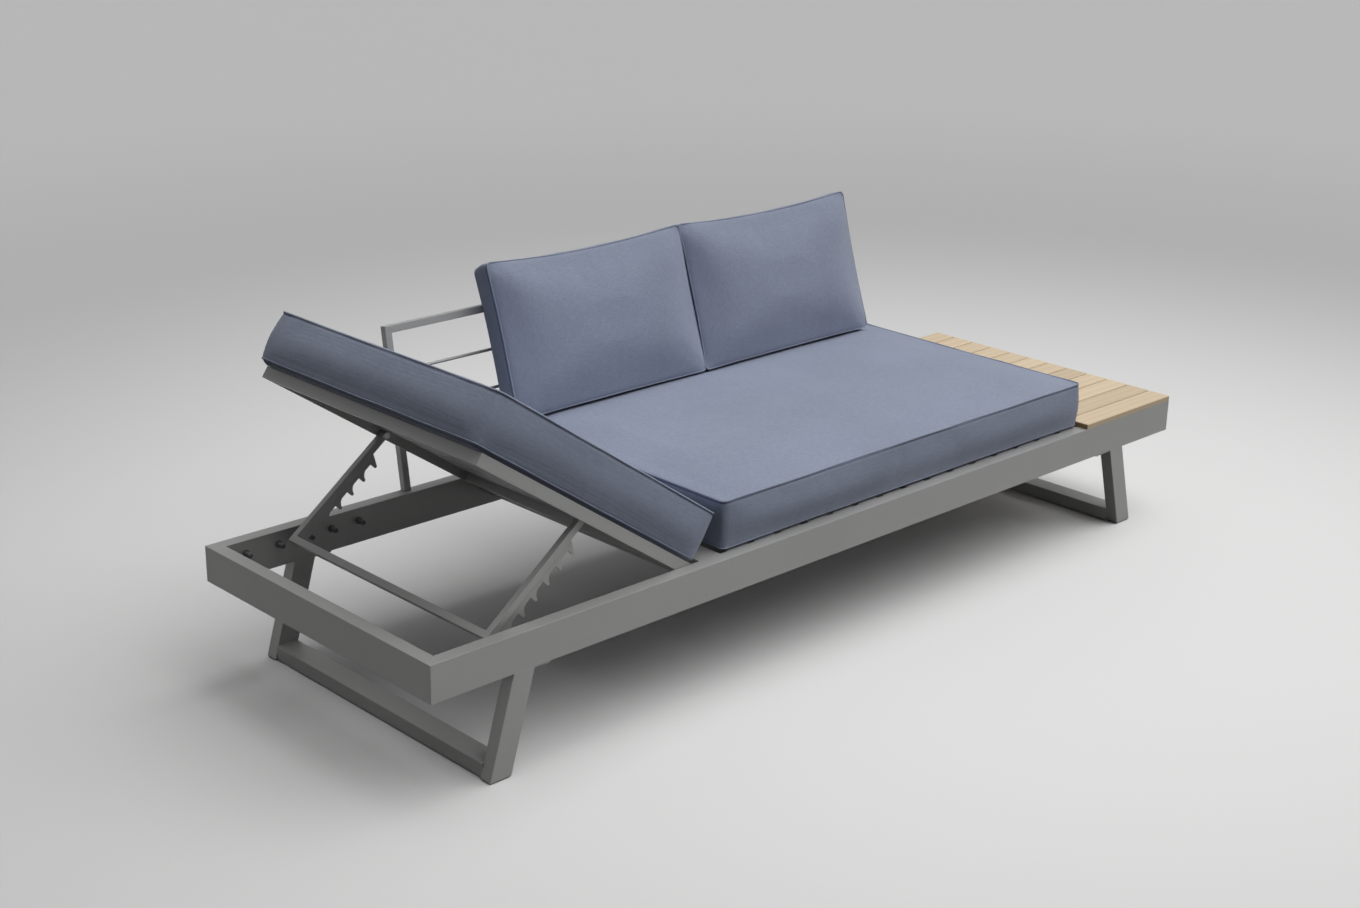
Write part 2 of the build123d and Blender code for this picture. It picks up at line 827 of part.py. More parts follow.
def head_nodes():
    tube = head_side_tube()
    return {
        "head_side_front": tilted([tube]),
        "head_side_back": tilted([opposite(tube)]),
        "head_end_tube": tilted([head_end_tube()]),
        "head_foot_tube": tilted([head_foot_tube()]),
        "head_slats": tilted(head_slats()),
        "head_end_caps": tilted(both_sides(head_end_cap())),
        "hinge_bushes": tilted(both_sides(hinge_bush())),
        "pivot_inserts": tilted(both_sides(pivot_insert())),
        "pivot_bolts": tilted(both_sides(pivot_bolt())),
        "pivot_washers": tilted(both_sides(pivot_washer())),
        "head_cushion": tilted([head_cushion()]),
    }


def support_nodes():
    arm = support_arm()
    plate = hook_plate()
    bush = support_bush()
    return {
        "support_arm_front": bail([arm]),
        "support_arm_back": bail([moved_across(arm, arm_y, arm_end_y)]),
        "hook_plate_front": bail([plate]),
        "hook_plate_back": bail([opposite(plate)]),
        "support_foot_bar": bail([support_foot_bar()]),
        "support_bushes": bail([bush, moved_across(bush, arm_y, arm_end_y)]),
    }


def cushion_nodes():
    seat = seat_cushion()
    return {
        "seat_cushion": [seat],
        "back_cushion_left": [back_cushion(0, seat)],
        "back_cushion_right": [back_cushion(1, seat)],
    }


nodes = frame_nodes() | head_nodes() | support_nodes() | cushion_nodes()
whole = Compound([solid for solids in nodes.values() for shape in solids for solid in shape.solids()])
box = whole.bounding_box()
home = Pos(-(box.min.X + box.max.X) / 2, -(box.min.Y + box.max.Y) / 2, 0)

os.makedirs("parts", exist_ok=True)
for name, shapes in nodes.items():
    solids = [home * solid for shape in shapes for solid in shape.solids()]
    export_step(Compound(solids) if len(solids) > 1 else solids[0], "parts/" + name + ".step")

hinge = home * Pos(hinge_x, 0, hinge_z)
pivot = home * Pos(bail_pivot.position)
print("origin moved by", home.position)
print("hinge axis", hinge.position)
print("support pivot axis", pivot.position)
print("size", box.size)
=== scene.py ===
"""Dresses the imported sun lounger: stuffed cushions with piped seams, finishes for every part and a studio."""

import json
import math

import bpy
import numpy as np
from bpy.props import FloatProperty, FloatVectorProperty, IntProperty, PointerProperty
from mathutils import Matrix, Vector, kdtree, noise


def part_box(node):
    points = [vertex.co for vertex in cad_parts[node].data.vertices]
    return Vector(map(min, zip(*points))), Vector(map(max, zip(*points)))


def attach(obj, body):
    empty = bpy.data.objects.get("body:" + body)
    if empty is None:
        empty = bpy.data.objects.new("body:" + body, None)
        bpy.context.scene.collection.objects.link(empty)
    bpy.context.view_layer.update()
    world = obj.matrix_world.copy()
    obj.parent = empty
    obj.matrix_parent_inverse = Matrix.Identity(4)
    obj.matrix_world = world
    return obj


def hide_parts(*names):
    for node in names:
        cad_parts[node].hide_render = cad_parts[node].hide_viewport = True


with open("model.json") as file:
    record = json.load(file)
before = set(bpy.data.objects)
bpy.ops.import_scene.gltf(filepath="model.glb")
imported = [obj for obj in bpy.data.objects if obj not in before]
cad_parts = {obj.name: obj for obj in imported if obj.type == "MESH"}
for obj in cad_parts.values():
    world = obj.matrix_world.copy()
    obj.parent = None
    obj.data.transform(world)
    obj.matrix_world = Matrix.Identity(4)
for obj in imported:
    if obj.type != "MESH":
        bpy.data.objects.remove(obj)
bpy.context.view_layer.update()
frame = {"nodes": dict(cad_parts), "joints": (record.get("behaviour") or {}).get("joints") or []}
joints = {joint["name"]: joint for joint in frame["joints"]}
hinge = Vector(joints["head_tilt"]["pos_m"])
rest_tilt = -math.radians(joints["head_tilt"]["range_deg"][0])

bl_info = {
    "name": "Sun Lounger Dressing",
    "version": (1, 0, 0),
    "blender": (4, 5, 0),
    "location": "View3D > Sidebar > Lounger",
    "description": "Stuffed cushions, piped seams, finishes and a studio for the packed sun lounger",
    "category": "Object",
}

PAINTED = ["front_rail", "back_rail", "head_end_rail", "table_end_rail", "head_leg_front", "head_leg_back",
           "head_runner", "table_leg_front", "table_leg_back", "table_runner", "leg_plates", "cross_tubes",
           "seat_bearers", "seat_slats", "table_battens", "back_post_left", "back_post_right",
           "back_top_rail", "back_bars", "head_side_front", "head_side_back", "head_end_tube",
           "head_foot_tube", "head_slats", "support_arm_front", "support_arm_back", "hook_plate_front",
           "hook_plate_back", "support_foot_bar"]
MOULDED = ["glides", "head_end_caps", "hinge_bushes", "support_bushes", "hinge_washers",
           "pivot_washers"]
PEGS = ["front_pegs", "back_pegs"]
STEEL = ["leg_bolts", "table_screws", "hinge_bolts", "hinge_inserts", "pivot_inserts", "pivot_bolts"]

WELD = 0.00001  # distance within which vertices of a CAD mesh are one
SEAM_WELD = 0.0006  # the same along a seam's line
BASE_RISE = 0.02  # height above its bed at which a cover is drawn in fully
BED = 0.004  # height up to which a cover lies flat on its bed
SIDE_LEAN = 0.5  # most that a side panel's normal leans to the upper panel's
FOLD_LENGTH = 0.022  # length of one small gather beside a seam
FOLD_RUN = 0.25  # how slowly a gather changes away from its seam
HOLLOW_LENGTH = 0.16  # length of one slow hollow in the stuffing
BELLY_CURVE = 1.5  # how much a belly gathers at the middle of its side panel
SPOT_STEP = 0.004  # distance between the spots that sharpen a seam
SPOT_BLEND = 0.015  # distance over which those spots' shifts are averaged
SHARPEN_REACH = 2.5  # seam reaches beyond which a cover isn't moved
WAVER_LENGTH = 0.11  # length of one stray of a hand-sewn seam
WAVER_SEED = 5  # keeps the strays the same in every run
CLOTH_QUALITY = 4  # solver steps for each simulated step
CLOTH_STRETCH = -0.002  # negative shrinking: the cover is cut a little wide
HEAD_SHIFT = (-0.328, 0, 0.0128)  # from the hinge to the middle of the head cushion's base, untilted

FLOOR_POOL_CENTRE = (0.45, -0.3, 0)  # middle of the painted pool of light, where the floor is palest
FLOOR_POOL_REACH = (0.6, 3.7)  # distances over which the painted pool of light fades into the darker floor
FLOOR_FAR_REACH = (3.6, 6.5)  # distances between which it turns into the backdrop
LIT_POINT = (0, 0, 0.3)  # where the lamps aim

WAVE_PHASE = 20  # radians of a wave texture's phase for each metre at scale 1
STITCH_SHARE, CREASE_SHADE_SHARE = 0.35, 0.60  # how much of their own colours the stitches and the painted shade of the creases show
STITCH_ENDS = (0.70, 0.62)  # share of a stitch's length where its thread ends
STITCH_HALF = (0.0007, 0.0003)  # half the width of a row of stitches, from its edge to its core
NYLON_EDGE, STEEL_EDGE, WOOD_EDGE = 0.0006, 0.0004, 0.0012  # how far edges are softened
PALER = 0.09  # how much paler moulded edges and rubbed spots are
RING_SHARE = 0.40  # share of the growth rings in the wood's grain
SLAT_SHIFT = (3.0, 0.6, 0.6)  # furthest that a slat's grain lies from its neighbour's


# Sizes and colours that a user would change

class CushionSizes(bpy.types.PropertyGroup):
    """Sizes of the cushions and how firmly they are stuffed"""
    thickness: FloatProperty(
        name="Box height", description="Height of a box cushion's side panel",
        default=0.110, unit="LENGTH")
    back_thickness: FloatProperty(
        name="Back cushion panel", description="Depth of a back cushion's side panel",
        default=0.060, unit="LENGTH")
    back_foot: FloatVectorProperty(
        name="Back cushion foot", description="Depth and height of a back cushion's lower back edge",
        size=2, default=(0.3031, 0.3975), unit="LENGTH")
    back_lean: FloatProperty(
        name="Back cushion lean", description="How far the back cushions lean back from upright",
        default=math.radians(17.5), subtype="ANGLE")
    draw_in: FloatProperty(
        name="Draw in", description="How much smaller a cover is before it is stuffed",
        default=0.003, unit="LENGTH")
    pressure: FloatProperty(
        name="Stuffing pressure", description="Pressure that swells each cover", default=4.0)
    swell: FloatProperty(
        name="Swell", description="The furthest that stuffing may move a cover",
        default=0.009, unit="LENGTH")
    held_share: FloatProperty(
        name="Held share", default=0.6,
        description="Share of the mesh size each side of a seam that stuffing leaves in place")
    calming: IntProperty(
        name="Calming", description="Rounds of averaging that take sharp creases out of the swell",
        default=14)
    wrinkles: FloatProperty(
        name="Wrinkles", description="Share of the sharp creases that stays", default=0.12)
    evening: IntProperty(
        name="Evening", description="Rounds of averaging that even out the upper panel", default=80)
    belly: FloatProperty(
        name="Belly", description="How far the middle of a side panel stands out, as a share of its height",
        default=0.035)
    flat_reach: FloatProperty(
        name="Flat end", description="Distance over which the belly fades out towards a flat end",
        default=0.05, unit="LENGTH")
    seam_reach: FloatProperty(
        name="Seam reach", description="How far from a seam the cover is carried out with it",
        default=0.026, unit="LENGTH")
    crispness: FloatProperty(
        name="Crispness", description="How far from a seam the cover is drawn to it",
        default=0.0035, unit="LENGTH")
    steps: IntProperty(
        name="Stuffing steps", description="Number of simulated steps", default=20)
    seat_mesh: FloatProperty(
        name="Seat mesh size", description="Mesh size of the seat cushion's cover",
        default=0.008, unit="LENGTH")
    head_mesh: FloatProperty(
        name="Head mesh size", description="Mesh size of the head cushion's cover",
        default=0.007, unit="LENGTH")
    back_mesh: FloatProperty(
        name="Back mesh size", description="Mesh size of a back cushion's cover",
        default=0.006, unit="LENGTH")
    pucker: FloatProperty(
        name="Pucker", description="Height of the small gathers beside the seams",
        default=0.0004, unit="LENGTH")
    pucker_length: FloatProperty(
        name="Pucker length", description="How far the gathers run from a seam",
        default=0.030, unit="LENGTH")
    softness: FloatProperty(
        name="Softness", description="Height of the slow hollows and rises in the stuffing",
        default=0.0012, unit="LENGTH")


class PipingSizes(bpy.types.PropertyGroup):
    """Sizes of the piped seams"""
    radius: FloatProperty(
        name="Upper piping radius", description="Radius of the piping round the upper panels",
        default=0.0024, unit="LENGTH")
    back_radius: FloatProperty(
        name="Back cushions' piping radius",
        description="Radius of the piping round the back cushions' fronts", default=0.0017, unit="LENGTH")
    lower_radius: FloatProperty(
        name="Lower piping radius", description="Radius of the piping round the lower panels",
        default=0.0014, unit="LENGTH")
    lower_level: FloatProperty(
        name="Lower seam height", description="Height of the lower seam above a cushion's base",
        default=0.0085, unit="LENGTH")
    back_lower_level: FloatProperty(
        name="Back cushions' rear seam", description="Distance of the rear seam from a back cushion's back",
        default=0.003, unit="LENGTH")
    longest_step: FloatProperty(
        name="Longest step", description="Longest straight step along a seam",
        default=0.030, unit="LENGTH")
    cuts: IntProperty(name="Cuts", description="Cuts in each longer step", default=30)
    waver: FloatProperty(
        name="Waver", description="How far a hand-sewn seam strays from its line",
        default=0.0009, unit="LENGTH")
    # The crease below a piping is painted shade: a dark band mixed into the cover's colour.
    crease_shade: FloatProperty(
        name="Crease width", description="Half the width of the dark crease below a piping",
        default=0.0016, unit="LENGTH")
    crease_shade_drop: FloatProperty(
        name="Crease drop", description="Distance from a seam to the middle of its crease",
        default=0.0042, unit="LENGTH")
    stitch: FloatProperty(
        name="Stitch length", description="Length of one stitch and its gap",
        default=0.005, unit="LENGTH")
    stitch_drop: FloatProperty(
        name="Stitch drop", description="Distance from a seam to its row of stitches",
        default=0.0095, unit="LENGTH")


class FabricFinish(bpy.types.PropertyGroup):
    """Woven cushion fabric"""
    dark: FloatVectorProperty(
        name="Dark thread", description="Colour of the darker threads", subtype="COLOR",
        size=3, default=(0.215, 0.250, 0.350))
    light: FloatVectorProperty(
        name="Light thread", description="Colour of the lighter threads", subtype="COLOR",
        size=3, default=(0.345, 0.380, 0.480))
    # Painted shade: the dark colour mixed into the cover where the crease below each piping lies in shade.
    crease_shade: FloatVectorProperty(
        name="Crease", description="Colour deep in the creases below the pipings", subtype="COLOR",
        size=3, default=(0.035, 0.040, 0.065))
    thread: FloatProperty(
        name="Thread spacing", description="Distance from thread to thread",
        default=0.0014, unit="LENGTH")
    sheen: FloatProperty(name="Sheen", description="Soft glow at glancing angles", default=0.25)


class MetalFinish(bpy.types.PropertyGroup):
    """Powder coat on the aluminium tubes, and the bare fittings"""
    coat: FloatVectorProperty(
        name="Powder coat", description="Colour of the coated tubes", subtype="COLOR",
        size=3, default=(0.395, 0.395, 0.390))
    # Colour of the paler edges: worn coat, and partly a painted highlight along the edges.
    worn_and_lit: FloatVectorProperty(
        name="Worn edge", description="Colour of the coat along worn edges", subtype="COLOR",
        size=3, default=(0.54, 0.54, 0.535))
    edge: FloatProperty(
        name="Edge radius", description="How far the tubes' edges are softened",
        default=0.0016, unit="LENGTH")
    steel: FloatVectorProperty(
        name="Steel", description="Colour of bolts and screws", subtype="COLOR",
        size=3, default=(0.52, 0.52, 0.53))
    moulded: FloatVectorProperty(
        name="Moulded nylon", description="Colour of pads, caps and bushes", subtype="COLOR",
        size=3, default=(0.045, 0.045, 0.048))
    pegs: FloatVectorProperty(
        name="Pegs", description="Colour of the pegs that the hooks catch on", subtype="COLOR",
        size=3, default=(0.12, 0.12, 0.123))


class WoodFinish(bpy.types.PropertyGroup):
    """Sanded wooden table slats"""
    light: FloatVectorProperty(
        name="Early wood", description="Colour between the grain lines", subtype="COLOR",
        size=3, default=(0.710, 0.578, 0.410))
    dark: FloatVectorProperty(
        name="Late wood", description="Colour of the grain lines", subtype="COLOR",
        size=3, default=(0.60, 0.455, 0.295))
    end_grain: FloatVectorProperty(
        name="End grain", description="Colour of the sawn ends", subtype="COLOR",
        size=3, default=(0.36, 0.235, 0.115))
    slats: IntProperty(name="Slats", description="Number of slats across the table", default=12)
    gap: FloatProperty(
        name="Slat gap", description="Gap between two slats", default=0.004, unit="LENGTH")


class StudioSettings(bpy.types.PropertyGroup):
    """Floor, lights and camera"""
    # The floor's colours paint a pool of light: palest round the lounger, darker towards its edge.
    floor_pool: FloatVectorProperty(
        name="Floor near", description="Colour of the floor round the lounger", subtype="COLOR",
        size=3, default=(0.812, 0.812, 0.808))
    floor_middle: FloatVectorProperty(
        name="Floor edge", description="Colour where the floor turns into the backdrop", subtype="COLOR",
        size=3, default=(0.450, 0.450, 0.450))
    floor_far: FloatVectorProperty(
        name="Backdrop", description="Colour of the backdrop far off", subtype="COLOR",
        size=3, default=(0.50, 0.50, 0.50))
    floor_size: FloatProperty(
        name="Floor radius", description="Radius of the floor", default=40.0, unit="LENGTH")
    ambient: FloatProperty(
        name="Ambient light", description="Strength of the light from all round", default=0.19)
    ambient_lean: FloatProperty(
        name="Ambient lean", description="How much stronger that light is on its side than opposite",
        default=1.0)
    ambient_side: FloatVectorProperty(
        name="Ambient side", description="Direction from which most of that light comes",
        subtype="DIRECTION", size=3, default=(0.5, 0.866, 0))
    key_strength: FloatProperty(
        name="Key light", description="Strength of the overhead light", default=2.58)
    key_place: FloatVectorProperty(
        name="Key direction", description="Where the overhead light stands from the lounger",
        subtype="TRANSLATION", size=3, default=(1.5, -1.22, 4.0))
    key_spread: FloatProperty(
        name="Key softness", description="How wide the overhead light is, seen from the lounger",
        default=math.radians(70), subtype="ANGLE")
    floor_dim: FloatProperty(
        name="Floor dimming", description="Share of the floor's paleness that it throws back as light",
        default=0.08)
    fill_power: FloatProperty(
        name="Fill light", description="Power of the small light at the front right",
        default=4.5, unit="POWER")
    fill_place: FloatVectorProperty(
        name="Fill place", description="Where the small light stands", subtype="TRANSLATION",
        size=3, default=(2.6, -2.6, 1.6))
    fill_size: FloatProperty(
        name="Fill size", description="Side of the small light", default=1.6, unit="LENGTH")
    camera_place: FloatVectorProperty(
        name="Camera place", description="Where the camera stands", subtype="TRANSLATION",
        size=3, default=(-3.1089, -3.0567, 1.8578))
    camera_turn: FloatVectorProperty(
        name="Camera turn", description="Camera's heading, downward tilt and roll",
        size=3, default=(math.radians(43.994), math.radians(19.624), math.radians(0.989)),
        subtype="EULER")
    lens: FloatProperty(
        name="Lens", description="Focal length on a 36 mm wide sensor", default=53.77)


# Small tools

def only(piece):
    """Selects one object alone and makes it active."""
    bpy.ops.object.select_all(action="DESELECT")
    piece.select_set(True)
    bpy.context.view_layer.objects.active = piece


def edit(piece):
    """Opens one object in edit mode with all of it selected."""
    only(piece)
    bpy.ops.object.mode_set(mode="EDIT")
    bpy.ops.mesh.select_all(action="SELECT")


def done_editing():
    bpy.ops.object.mode_set(mode="OBJECT")


def apply_modifier(piece, name):
    only(piece)
    bpy.ops.object.modifier_apply(modifier=name)


def read_rows(items, name, width, kind):
    """One value of every vertex or edge as an array with a row each."""
    rows = np.empty(len(items) * width, kind)
    items.foreach_get(name, rows)
    return rows.reshape(-1, width)


def points_of(piece):
    """Vertex positions as an array."""
    return read_rows(piece.data.vertices, "co", 3, np.float32).astype(float)


def set_points(piece, points):
    piece.data.vertices.foreach_set("co", points.astype(np.float32).ravel())
    piece.data.update()


def normals_of(piece):
    """Vertex normals as an array."""
    return read_rows(piece.data.vertex_normals, "vector", 3, np.float32).astype(float)


def in_place(points, place):
    """Points as the cushion's own frame sees them."""
    inverse = np.array(place.inverted())
    return points @ inverse[:3, :3].T + inverse[:3, 3]


def merged_copy(node, name):
    """A merged copy of a CAD node's mesh, as a new piece at the origin."""
    piece = bpy.data.objects.new(name, frame["nodes"][node].data.copy())
    bpy.context.scene.collection.objects.link(piece)
    piece.data.materials.clear()
    only(piece)
    bpy.ops.mesh.customdata_custom_splitnormals_clear()
    edit(piece)
    bpy.ops.mesh.remove_doubles(threshold=WELD)
    bpy.ops.mesh.normals_make_consistent(inside=False)
    done_editing()
    return piece


def remesh(piece, size):
    """Even square faces all over, which cloth needs."""
    even = piece.modifiers.new("even faces", "REMESH")
    even.mode = "VOXEL"
    even.voxel_size = size
    apply_modifier(piece, even.name)


def draw_in(piece, place, amount):
    """Takes the cover in all over but at its base, so that stuffing can swell it."""
    points = points_of(piece)
    height = in_place(points, place)[:, 2]
    share = np.clip(height / BASE_RISE, 0, 1)
    set_points(piece, points - normals_of(piece) * (amount * share)[:, None])


def at_seams(piece, place, panel, band):
    """Which vertices lie at the base or at the seam of the side panel."""
    height = in_place(points_of(piece), place)[:, 2]
    return (height < band) | (np.abs(height - panel) < band)


def ends_of(piece):
    """The two vertices of every edge, as an array."""
    return read_rows(piece.data.edges, "vertices", 2, np.int32)


def calm(piece, values, held, rounds):
    """Averages every vertex's value with its neighbours' over and over, but keeps the held ones."""
    ends = ends_of(piece)
    joined = np.maximum(np.bincount(ends.ravel(), minlength=len(values)), 1)
    kept = values[held].copy()
    for _ in range(rounds):
        around = np.empty_like(values)
        for axis in range(3):
            around[:, axis] = np.bincount(ends[:, 0], values[ends[:, 1], axis], len(values))
            around[:, axis] += np.bincount(ends[:, 1], values[ends[:, 0], axis], len(values))
        values = (values + around / joined[:, None]) / 2
        values[held] = kept
    return values


def even_panel(piece, place, panel, rounds):
    """Evens out the crowned upper panel, and leaves the sides as they are."""
    points = points_of(piece)
    held = in_place(points, place)[:, 2] < panel
    set_points(piece, calm(piece, points, held, rounds))


def stuff(piece, place, panel, band, sizes):
    """Swells the cover with cloth under pressure, with its seams and base held."""
    before = points_of(piece)
    held = at_seams(piece, place, panel, band)
    group = piece.vertex_groups.new(name="seams")
    group.add([int(i) for i in np.nonzero(held)[0]], 1.0, "REPLACE")
    cloth = piece.modifiers.new("stuffing", "CLOTH")
    cloth.settings.quality = CLOTH_QUALITY
    cloth.settings.use_pressure = True
    cloth.settings.uniform_pressure_force = sizes.pressure
    cloth.settings.effector_weights.gravity = 0
    cloth.settings.shrink_min = CLOTH_STRETCH
    cloth.settings.vertex_group_mass = group.name
    cloth.collision_settings.use_collision = False
    cloth.point_cache.frame_start = 1
    cloth.point_cache.frame_end = sizes.steps
    for step in range(1, sizes.steps + 1):
        bpy.context.scene.frame_set(step)
    apply_modifier(piece, cloth.name)
    bpy.context.scene.frame_set(1)
    move = points_of(piece) - before
    slow = calm(piece, move, held, sizes.calming)
    move = slow + (move - slow) * sizes.wrinkles
    length = np.maximum(np.linalg.norm(move, axis=1), 1e-9)
    move *= np.minimum(1, sizes.swell / length)[:, None]
    set_points(piece, before + move)
    piece.vertex_groups.clear()


def subdivide(piece):
    """One round of smoothing subdivision."""
    finer = piece.modifiers.new("finer", "SUBSURF")
    finer.levels = 1
    finer.render_levels = 1
    apply_modifier(piece, finer.name)


def gather(piece, place, panel, sizes, seed, flat_end):
    """Bellied side panels, small gathers beside the seams and slow hollows in the stuffing.

    flat_end is 1 or -1 for the end along X that stays flat, or 0 for none.
    """
    points = points_of(piece)
    local = in_place(points, place)
    normals = normals_of(piece)
    facing = np.abs(normals @ np.array(place.to_3x3()))
    low, high = local.min(axis=0), local.max(axis=0)
    shift = np.zeros(len(points))
    for i, (x, y, z) in enumerate(local):
        if z < BED:
            continue
        side = min(x - low[0], high[0] - x, y - low[1], high[1] - y)
        seam = min(z, abs(z - panel)) if facing[i][2] < SIDE_LEAN else side
        near = math.exp(-max(seam, 0) / sizes.pucker_length)
        at_end = min(x - low[0], high[0] - x) < min(y - low[1], high[1] - y)
        along, away = (y, x) if at_end else (x, y)
        fold = noise.noise((along / FOLD_LENGTH, away / FOLD_RUN + seed, z / FOLD_RUN))
        slow = noise.noise((x / HOLLOW_LENGTH + seed, y / HOLLOW_LENGTH, z / HOLLOW_LENGTH))
        shift[i] = sizes.pucker * fold * near + sizes.softness * slow * (1 - near)
        belly = sizes.belly * panel * math.sin(math.pi * min(z / panel, 1)) ** BELLY_CURVE
        if flat_end:
            off_end = high[0] - x if flat_end > 0 else x - low[0]
            belly *= min(max(off_end, 0) / sizes.flat_reach, 1)
        shift[i] += belly
    set_points(piece, points + normals * shift[:, None])


def seam_line(node, name, place, level):
    """The closed line where a cushion's CAD solid crosses one level."""
    seam = merged_copy(node, name)
    edit(seam)
    bpy.ops.mesh.bisect(plane_co=place @ Vector((0, 0, level)), plane_no=place.to_3x3() @ Vector((0, 0, 1)),
                        clear_inner=True, clear_outer=True)
    bpy.ops.mesh.select_all(action="SELECT")
    bpy.ops.mesh.remove_doubles(threshold=SEAM_WELD)
    done_editing()
    return seam


def spots_along(seam, step):
    """Even spots along a seam's line, and the line's direction at each."""
    line = points_of(seam)
    spots, heads = [], []
    for first, second in ends_of(seam):
        span = line[second] - line[first]
        length = float(np.linalg.norm(span))
        count = max(1, math.ceil(length / step))
        for number in range(count):
            spots.append(line[first] + span * ((number + 0.5) / count))
            heads.append(span / max(length, 1e-9))
    return np.array(spots), np.array(heads)


def nearest(points, targets):
    """Number of the target nearest to each point, and how far off it is."""
    tree = kdtree.KDTree(len(targets))
    for number, target in enumerate(targets):
        tree.insert(target, number)
    tree.balance()
    found = [tree.find(point)[1:] for point in points]
    return np.array([number for number, gap in found]), np.array([gap for number, gap in found])


def across(shift, heads):
    """The part of each shift that doesn't run along the seam."""
    return shift - (shift * heads).sum(axis=1)[:, None] * heads


def sharpen(cushion, seam, place, level, sizes):
    """Carries the cover out to a seam's line, so that its panels meet in a crisp edge."""
    points = points_of(cushion)
    height = in_place(points, place)[:, 2]
    near = np.nonzero(np.abs(height - level) < SHARPEN_REACH * sizes.seam_reach)[0]
    spots, heads = spots_along(seam, SPOT_STEP)
    closest, _ = nearest(spots, points[near])
    missing = across(spots - points[near][closest], heads)
    gaps = np.linalg.norm(spots[:, None] - spots, axis=2)
    weights = np.exp(-(gaps / SPOT_BLEND) ** 2)
    missing = weights @ missing / weights.sum(axis=1)[:, None]
    spot, gap = nearest(points[near], spots)
    points[near] += missing[spot] * np.exp(-(gap / sizes.seam_reach) ** 2)[:, None]
    spot, gap = nearest(points[near], spots)
    pull = across(spots[spot] - points[near], heads[spot])
    points[near] += pull * np.exp(-(gap / sizes.crispness) ** 2)[:, None]
    set_points(cushion, points)


def level_base(cushion, place):
    """Keeps the underside from sinking below the cushion's bed."""
    points = points_of(cushion)
    sunk = np.minimum(in_place(points, place)[:, 2], 0)
    set_points(cushion, points - sunk[:, None] * np.array(place.to_3x3())[:, 2])


def short_steps(seam, sizes):
    """Cuts a seam's long straight steps into short ones and lets the line waver."""
    only(seam)
    settings = bpy.context.scene.tool_settings
    settings.mesh_select_mode = (False, True, False)
    bpy.ops.object.mode_set(mode="EDIT")
    bpy.ops.mesh.select_all(action="DESELECT")
    done_editing()
    points = points_of(seam)
    for edge, (first, second) in zip(seam.data.edges, ends_of(seam)):
        edge.select = bool(np.linalg.norm(points[first] - points[second]) > sizes.longest_step)
    bpy.ops.object.mode_set(mode="EDIT")
    bpy.ops.mesh.subdivide(number_cuts=sizes.cuts)
    done_editing()
    settings.mesh_select_mode = (True, False, False)
    points = points_of(seam)
    noise.seed_set(WAVER_SEED)
    stray = [noise.noise_vector(Vector(point) / WAVER_LENGTH) for point in points]
    set_points(seam, points + np.array(stray) * sizes.waver)


def pipe(seam, radius, sizes):
    """Makes a seam's line into piping, half sunk in the cover."""
    short_steps(seam, sizes)
    only(seam)
    bpy.ops.object.convert(target="CURVE")
    piping = bpy.context.object
    piping.data.bevel_depth = radius
    piping.data.bevel_resolution = 2
    bpy.ops.object.convert(target="MESH")
    piping = bpy.context.object
    only(piping)
    bpy.ops.object.shade_smooth()
    return piping


def seat_place():
    """Frame of the seat cushion: its origin in the middle of its base."""
    low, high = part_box("seat_cushion")
    return Matrix.Translation(((low.x + high.x) / 2, (low.y + high.y) / 2, low.z))


def head_place():
    """Frame of the head cushion: tilted about the hinge."""
    turn = Matrix.Rotation(rest_tilt, 4, "Y")
    return Matrix.Translation(hinge) @ turn @ Matrix.Translation(HEAD_SHIFT)


def back_place(node, sizes):
    """Frame of a back cushion: its origin at the middle of its lower back edge, Z out of its front."""
    low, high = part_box(node)
    lean = sizes.back_lean
    turn = Matrix(((1, 0, 0), (0, math.sin(lean), -math.cos(lean)), (0, math.cos(lean), math.sin(lean))))
    foot = Vector(((low.x + high.x) / 2, sizes.back_foot[0], sizes.back_foot[1]))
    return Matrix.Translation(foot) @ turn.to_4x4()


def cover(node, place, panel, mesh_size, sizes, seed, flat_end):
    """One stuffed cover in the space of its CAD solid."""
    cushion = merged_copy(node, node + "_cover")
    remesh(cushion, mesh_size)
    even_panel(cushion, place, panel, sizes.evening)
    draw_in(cushion, place, sizes.draw_in)
    stuff(cushion, place, panel, mesh_size * sizes.held_share, sizes)
    subdivide(cushion)
    gather(cushion, place, panel, sizes, seed, flat_end)
    return cushion


def cushion_of(node, body, place, panel, mesh_size, lower_level, radius, seed, flat_end=0):
    """A whole cushion: its cover, its two piped seams and its fabric, on its body."""
    sizes, piping = bpy.context.scene.lounger_cushions, bpy.context.scene.lounger_piping
    cushion = cover(node, place, panel, mesh_size, sizes, seed, flat_end)
    pipings = []
    for part, level, size in (("upper", panel - radius / 8, radius),
                              ("lower", lower_level, piping.lower_radius)):
        seam = seam_line(node, f"{node}_{part}_piping", place, level)
        sharpen(cushion, seam, place, level, sizes)
        pipings.append(pipe(seam, size, piping))
    level_base(cushion, place)
    only(cushion)
    bpy.ops.object.shade_smooth()
    fabric = woven_fabric(node + "_fabric", place, (panel, lower_level))
    for piece in [cushion] + pipings:
        piece.data.materials.append(fabric)
        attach(piece, body)
    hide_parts(node)


# Materials

